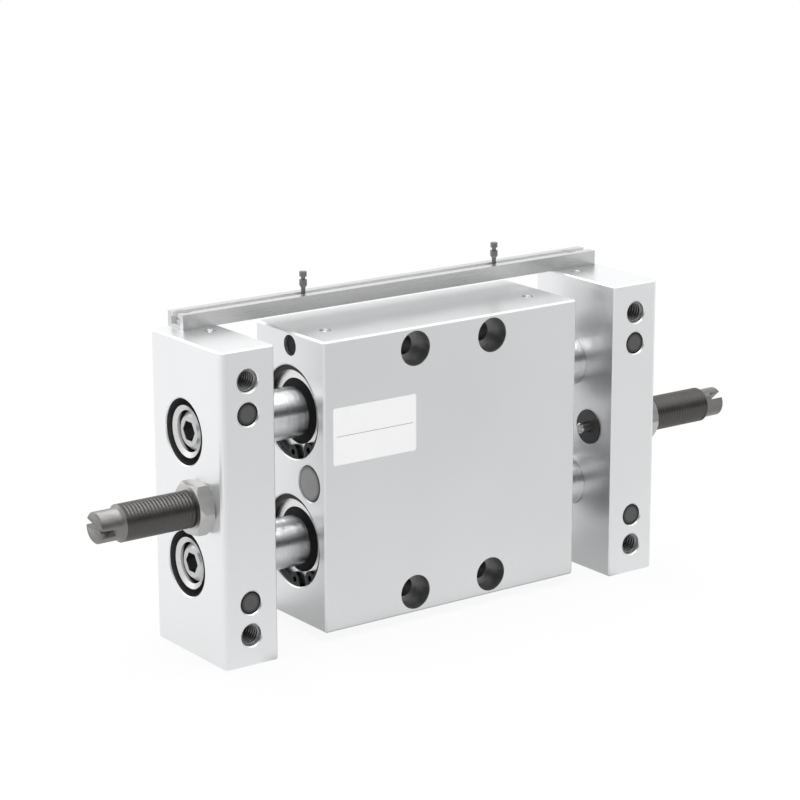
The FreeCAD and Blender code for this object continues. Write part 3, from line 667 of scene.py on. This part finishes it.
def finished_object(name, mesh, material, body, smooth=True):
    bmesh.ops.dissolve_degenerate(mesh, edges=mesh.edges[:], dist=NO_LENGTH)
    bmesh.ops.recalc_face_normals(mesh, faces=mesh.faces[:])
    data = bpy.data.meshes.new(name)
    mesh.to_mesh(data)
    mesh.free()
    data.materials.append(material)
    if smooth:
        data.shade_smooth()
        data.set_sharp_from_angle(angle=SHARP_ANGLE)
    piece = bpy.data.objects.new(name, data)
    scene.collection.objects.link(piece)
    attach(piece, body)
    print(name, len(data.polygons), "faces on", body)
    return piece


print("edges stay sharp from", round(math.degrees(SHARP_ANGLE)), "degrees")

# %% The dampers, with a bore for the plunger and the packed part's tail
THREAD_DEPTH = 0.22 * MM
PLUNGER_BORE = 1.55 * MM
BORE_DEPTH = 20 * MM
TAIL_OVERLAP = 0.5 * MM


def extruded_loop(mesh, edges):
    # New corners and open edges of a loop of edges that is drawn on into a wall
    made = bmesh.ops.extrude_edge_only(mesh, edges=edges)["geom"]
    rim = [edge for edge in only(bmesh.types.BMEdge, made) if edge.is_boundary]
    return only(bmesh.types.BMVert, made), rim


def bored_front(mesh, rim, mouth, axis):
    # Draws the thread's rim in to the bore, and the bore on into the damper
    inner, bore_rim = extruded_loop(mesh, rim)
    for corner in inner:
        corner.co = mouth + (corner.co - mouth).normalized() * PLUNGER_BORE
    deep, bore_end = extruded_loop(mesh, bore_rim)
    bmesh.ops.translate(mesh, verts=deep, vec=axis * BORE_DEPTH)
    bmesh.ops.edgeloop_fill(mesh, edges=bore_end)


def plain_tail(node, place, axis):
    tail = bmesh.new()
    tail.from_mesh(nodes[node].data)
    bmesh.ops.remove_doubles(tail, verts=tail.verts[:], dist=NO_LENGTH)
    bmesh.ops.holes_fill(tail, edges=cut_away(tail, place, -axis))
    return tail


def threaded_damper(side):
    node = f"{side}_damper_body"
    low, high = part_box(node)
    centre = DAMPER_CENTRE[side]
    axis = Vector((-1 if side == "left" else 1, 0, 0))
    half = (high.x - low.x) / 2
    shoulder = half - TAIL_LENGTH
    crest = (high.z - low.z) / 2
    mesh = bmesh.new()
    front, back = spun_helix(mesh, -half, shoulder, centre, axis, crest, THREAD_DEPTH)
    bmesh.ops.edgeloop_fill(mesh, edges=back)
    bored_front(mesh, front, centre - axis * half, axis)
    join(mesh, plain_tail(node, centre + axis * (shoulder - TAIL_OVERLAP), axis))
    piece = finished_object(f"{side}_threaded_damper", mesh, DAMPER_STEEL, "frame")
    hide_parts(node)


for side in SIDES:
    threaded_damper(side)

# %% [markdown]
# ## Tapped holes
# The open holes on the plates' fronts are tapped. A dark disc would do from far off, but not from close
# by. Inside a hole the same helix is used the other way out: its crests point to the middle and its
# roots meet the wall of the hole. The surface gets a little thickness, away from the middle, so that it
# is a closed sleeve sunk into the metal.

# %% Thread sleeves in the plates' front holes
HOLE_RADIUS = 3.0 * MM
HOLE_INSET = 8.25 * MM
TAP_DEPTH = 0.5 * MM
TAP_START, TAP_END = 0.9 * MM, 14 * MM
SLEEVE_WALL = 0.12 * MM
INWARDS = Vector((0, 1, 0))
OILED_THREAD = mottled(
    "oiled_thread", grey(0.19), grey(0.35), metallic=0.9, roughness=0.30, grain=0.4 * MM, depth=0.01 * MM
)


def tapped_sleeves(side):
    low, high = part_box(f"{side}_end_plate")
    sleeves = bmesh.new()
    for height in (low.z + HOLE_INSET, high.z - HOLE_INSET):
        mouth = Vector(((low.x + high.x) / 2, low.y, height))
        sleeve = bmesh.new()
        spun_helix(sleeve, TAP_START, TAP_END, mouth, INWARDS, HOLE_RADIUS - TAP_DEPTH, -TAP_DEPTH)
        bmesh.ops.recalc_face_normals(sleeve, faces=sleeve.faces[:])
        bmesh.ops.solidify(sleeve, geom=sleeve.faces[:], thickness=SLEEVE_WALL)
        join(sleeves, sleeve)
    finished_object(f"{side}_tapped_threads", sleeves, OILED_THREAD, "frame")


for side in SIDES:
    tapped_sleeves(side)

# %% [markdown]
# ## Blank label
# A white film label sits near the upper left of the housing's front. It is left blank apart from the
# thin rule that divides it into two fields. A patch of colour on the metal would have no edge, so it is
# a real sheet with rounded corners, a little proud of the metal.

# %% Place and film of the label
LABEL_LEFT = 2.8 * MM
LABEL_TOP = 18.1 * MM
LABEL_WIDTH = 26.6 * MM
LABEL_HEIGHT = 15.4 * MM
RULE_WIDTH = 0.16 * MM
RULE_LENGTH = 0.92 * LABEL_WIDTH
FIBRE_SIZE = 0.6 * MM
FIBRE_DEPTH = 0.008 * MM
LABEL_CENTRE = Vector((HOUSING_LOW.x + LABEL_LEFT, HOUSING_LOW.y, HOUSING_HIGH.z - LABEL_TOP))
LABEL_CENTRE += Vector((LABEL_WIDTH, 0, -LABEL_HEIGHT)) / 2


def label_film():
    finish = Finish("white_label_film")
    up = abs(finish.axis("Z") - LABEL_CENTRE.z)
    across = abs(finish.axis("X") - LABEL_CENTRE.x)
    rule = up.below(RULE_WIDTH / 2) * across.below(RULE_LENGTH / 2)
    fibre = finish.noise(FIBRE_SIZE, detail=4.0)
    paper = finish.mix(grey(0.90), grey(0.93), fibre)
    return finish.surface(
        base_color=finish.mix(paper, grey(0.30), rule),
        roughness=0.32 + 0.12 * fibre,
        normal=finish.bump(fibre, FIBRE_DEPTH, strength=0.4),
    )


print("label's centre", [round(value / MM, 2) for value in LABEL_CENTRE], "mm")

# %% The label's sheet
LABEL_CORNER = 0.5 * MM
LABEL_THICKNESS = 0.08 * MM


def label():
    mesh = bmesh.new()
    size = Matrix.Diagonal((LABEL_WIDTH, LABEL_HEIGHT, 1, 1))
    bmesh.ops.create_grid(mesh, x_segments=1, y_segments=1, size=0.5, matrix=size)
    bmesh.ops.bevel(
        mesh,
        geom=mesh.verts[:],
        offset=LABEL_CORNER,
        affect="VERTICES",
        segments=4,
        profile=0.5,
        material=-1,
    )
    raised = bmesh.ops.extrude_face_region(mesh, geom=mesh.faces[:])["geom"]
    top = only(bmesh.types.BMVert, raised)
    bmesh.ops.translate(mesh, verts=top, vec=(0, 0, LABEL_THICKNESS))
    upright = Matrix.Translation(LABEL_CENTRE) @ Matrix.Rotation(math.radians(90), 4, "X")
    bmesh.ops.transform(mesh, matrix=upright, verts=mesh.verts[:])
    finished_object("blank_label", mesh, label_film(), "housing", smooth=False)


label()

# %% [markdown]
# ## Floor
# The unit stands on its two plates, on a wide pale sheet. More light would turn the sheet white, but
# also wash out the unit. So the sheet glows where it is seen, directly or in the metal. Near the unit a
# tenth of it stays plain paper, which keeps a soft shadow. In the metal the sheet has painted shade: it
# is darker in front of the unit, and a painted contact shadow lies right under the housing.

# %% Finish of the floor
SHADOW_REACH = 0.25
WHITE_REACH = 0.60
NEAR_GLOW = 0.90
# Painted shade on the sheet, seen only in the metal: in front of the unit, and a contact shadow under it
FRONT_SHADE_CENTRE = Vector((0.10, -0.34))
FRONT_SHADE_REACH = 0.50
FRONT_SHADE_DEPTH = 0.38
CONTACT_SHADOW_REACH = 0.005
CONTACT_SHADOW_DEPTH = 0.42
ORIGIN = Vector((0, 0))
UNDER_HOUSING = Vector((PLATE_LOW.x, (PLATE_HIGH.y - PLATE_LOW.y) / 2))
SPECK_SIZE = 20 * MM


def seen_directly(graph):
    # 1 for rays that show the background: from the camera, or by way of metal and glass
    kinds = ("Camera", "Glossy", "Transmission")
    rays = [graph.node("ShaderNodeLightPath", output=f"Is {kind} Ray") for kind in kinds]
    return (rays[0] + rays[1] + rays[2]).ramp(0.0, 1.0)


def distance_from(finish, place, half_size=ORIGIN):
    # Distance on the floor from a point, or from a rectangle of this half size
    across = abs(finish.axis("X") - place.x) - half_size.x
    along = abs(finish.axis("Y") - place.y) - half_size.y
    return distance(across.at_least(0.0), along.at_least(0.0))


def fading(away, reach):
    return 1 - away.ramp(0.0, reach)


def pale_floor():
    finish = Finish("pale_floor")
    mirrored = finish.node("ShaderNodeLightPath", output="Is Glossy Ray")
    # Painted shade for mirrored rays: a darker patch in front of the unit, and a contact shadow under it
    front = FRONT_SHADE_DEPTH * fading(distance_from(finish, FRONT_SHADE_CENTRE), FRONT_SHADE_REACH)
    contact_shadow = CONTACT_SHADOW_DEPTH * fading(distance_from(finish, ORIGIN, UNDER_HOUSING), CONTACT_SHADOW_REACH)
    dark = mirrored * (front + contact_shadow)
    white = finish.mix(grey(1.0), grey(0.0), dark)
    paper = finish.mix(grey(0.82), grey(0.84), finish.noise(SPECK_SIZE))
    board = finish.node("ShaderNodeBsdfDiffuse", None, {"Color": finish.mix(paper, grey(0.0), dark)})
    glow = finish.node("ShaderNodeEmission", None, {"Color": white, "Strength": 1.0})
    far = distance_from(finish, ORIGIN).ramp(SHADOW_REACH, WHITE_REACH)
    share = NEAR_GLOW + (1 - NEAR_GLOW) * (mirrored + far).ramp(0.0, 1.0)
    inputs = {0: share * seen_directly(finish), 1: board, 2: glow}
    blend = finish.node("ShaderNodeMixShader", None, inputs)
    finish.node("ShaderNodeOutputMaterial", None, {"Surface": blend})
    return finish.material


print("the floor glows by", NEAR_GLOW, "near the unit, and fully from", WHITE_REACH, "m")

# %% The floor's sheet
FLOOR_SIZE = 6.0

floor_mesh = bmesh.new()
bmesh.ops.create_grid(floor_mesh, x_segments=1, y_segments=1, size=FLOOR_SIZE / 2)
floor_data = bpy.data.meshes.new("floor")
floor_mesh.to_mesh(floor_data)
floor_mesh.free()
floor_data.materials.append(pale_floor())
floor = bpy.data.objects.new("floor", floor_data)
scene.collection.objects.link(floor)
print("floor", FLOOR_SIZE, "m wide")

# %% [markdown]
# ## Light
# Polished and satin metal shows what it faces, so the lamps stand where the faces look: one low behind
# on the left for the outer faces, one high behind and one high on the right for the bevelled upper
# edges, which draw thin white lines. A long lamp hangs straight overhead, across the rods, and draws
# the white band along them. The sky is white where it is seen directly or in the metal, and dimmer
# where it only lights. Behind the camera, metal sees a darker strip of the room, which draws the dark
# line along the chromed rods.

# %% Lamps
AIM = Vector((0, 0, 0.045))


def broad_lamp(name, place, width, length, power):
    lamp = bpy.data.lights.new(name, "AREA")
    lamp.shape = "ELLIPSE"
    lamp.size, lamp.size_y = width, length
    lamp.energy = power
    holder = bpy.data.objects.new(name, lamp)
    holder.location = place
    holder.rotation_euler = (AIM - Vector(place)).to_track_quat("-Z", "Y").to_euler()
    scene.collection.objects.link(holder)
    print(name, power, "W")


broad_lamp("left_lamp", (-0.85, 1.05, 0.22), width=0.8, length=0.8, power=0.8)
broad_lamp("back_lamp", (-0.35, 1.05, 0.80), width=0.9, length=0.9, power=1.6)
broad_lamp("top_lamp", (0.65, -0.30, 0.95), width=1.1, length=1.1, power=1.0)
broad_lamp("overhead_lamp", (0.0, 0.04, 1.25), width=0.4, length=2.0, power=10.5)

# %% Sky
SKY_LIGHT = 0.75
STRIP_DARKNESS = 0.97
STRIP_LOW, STRIP_EDGE = 0.0, 0.06
STRIP_HIGH, STRIP_FADE = 0.45, 0.25
STRIP_SIDE, STRIP_MIDDLE = 0.2, 0.5


def white_room():
    world = bpy.data.worlds.new("white_room")
    sky = Graph(world)
    sky.place = sky.node("ShaderNodeTexCoord", output="Generated")
    height = sky.axis("Z")
    low_edge = height.ramp(STRIP_LOW, STRIP_LOW + STRIP_EDGE)
    high_edge = 1 - height.ramp(STRIP_HIGH, STRIP_HIGH + STRIP_FADE)
    front = (-1 * sky.axis("Y")).ramp(STRIP_SIDE, STRIP_MIDDLE)
    mirrored = sky.node("ShaderNodeLightPath", output="Is Glossy Ray")
    level = SKY_LIGHT + (1 - SKY_LIGHT) * seen_directly(sky)
    strength = level * (1 - mirrored * (STRIP_DARKNESS * low_edge * high_edge * front))
    shine = sky.node("ShaderNodeBackground", None, {"Color": grey(1.0), "Strength": strength})
    sky.node("ShaderNodeOutputWorld", None, {"Surface": shine})
    return world


scene.world = white_room()
print("the sky lights by", SKY_LIGHT, "and shows white")

# %% [markdown]
# ## Camera
# The camera stands to the front left, a little above the unit, with a long lens, as worked out from the
# edges in the photograph. The picture is square, so the lens follows from the picture's width alone.

# %% Camera and picture settings
CAMERA_PLACE = Vector((-414.5, -565.9, 244.2)) * MM
CAMERA_AZIMUTH = math.radians(-35.93)
CAMERA_ELEVATION = math.radians(14.94)
CAMERA_ROLL = math.radians(-0.11)
FOCAL_PIXELS = 2681.0
PICTURE_PIXELS = 800
SENSOR_WIDTH = 36.0

camera_data = bpy.data.cameras.new("camera")
camera_data.sensor_width = SENSOR_WIDTH
camera_data.lens = FOCAL_PIXELS * SENSOR_WIDTH / PICTURE_PIXELS
camera = bpy.data.objects.new("camera", camera_data)
turn = Matrix.Rotation(CAMERA_AZIMUTH, 4, "Z") @ Matrix.Rotation(math.pi / 2 - CAMERA_ELEVATION, 4, "X")
camera.matrix_world = Matrix.Translation(CAMERA_PLACE) @ turn @ Matrix.Rotation(CAMERA_ROLL, 4, "Z")
scene.collection.objects.link(camera)
scene.camera = camera
scene.view_settings.view_transform = "Standard"
print("lens", round(camera_data.lens, 1), "mm")

# %% [markdown]
# ## Size
# Dressing must not make the part larger.
